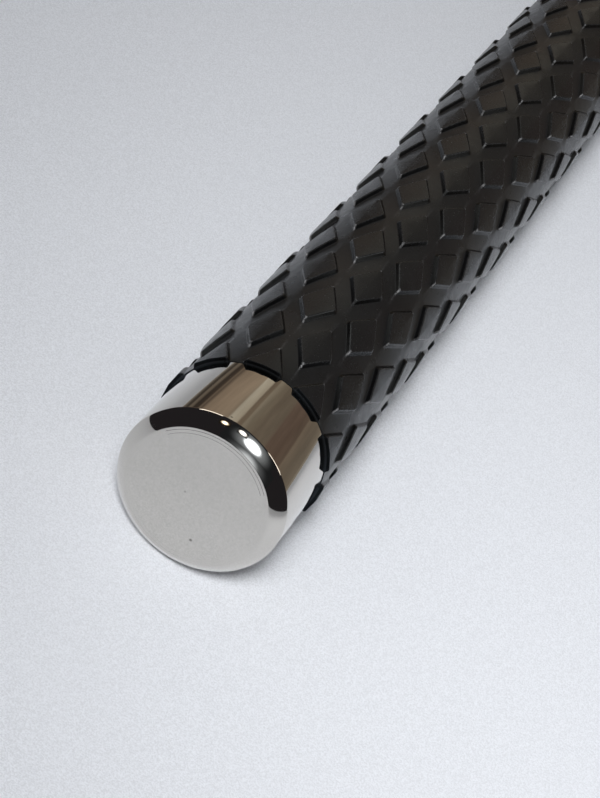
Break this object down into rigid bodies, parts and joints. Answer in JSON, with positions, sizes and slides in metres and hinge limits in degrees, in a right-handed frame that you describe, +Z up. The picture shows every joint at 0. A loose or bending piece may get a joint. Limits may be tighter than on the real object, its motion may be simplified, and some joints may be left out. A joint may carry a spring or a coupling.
{
  "type": "devil stick",
  "caption": "Straight round juggling baton with a black diamond-tread rubber sleeve between two polished round end caps.",
  "frame": {"origin": "centre of the stick, on its axis, halfway between the two cap faces", "axes": "+X along the stick towards the right cap, +Z up with the stick lying on a floor, +Y across it"},
  "size_m": [0.653, 0.037, 0.037],
  "materials": {
    "polished_chrome": "mirror polished, with a few fine scratches and specks on the face",
    "black_rubber": "satin moulded rubber with crisp, slightly rounded pad edges",
    "ring_rubber": "smooth matt",
    "aluminium_tube": "drawn, lightly brushed along its length",
    "zinc_steel": "bright zinc plate with thread marks",
    "spring_steel": "dark oiled spring steel",
    "weight_steel": "turned, with fine rings on its faces",
    "plug_nylon": "natural nylon, matt, turned"
  },
  "bodies": {
    "root": {"core_tube": "aluminium_tube", "tread_sleeve": "black_rubber", "left_end_cap": "polished_chrome", "left_cap_o_ring": "ring_rubber", "left_cap_stud": "zinc_steel", "left_jam_nut": "zinc_steel", "left_lock_washer": "spring_steel", "left_balance_weight": "weight_steel", "left_end_plug": "plug_nylon", "left_plug_pin": "spring_steel", "right_end_cap": "polished_chrome", "right_cap_o_ring": "ring_rubber", "right_cap_stud": "zinc_steel", "right_jam_nut": "zinc_steel", "right_lock_washer": "spring_steel", "right_balance_weight": "weight_steel", "right_end_plug": "plug_nylon", "right_plug_pin": "spring_steel"}
  },
  "joints": []
}
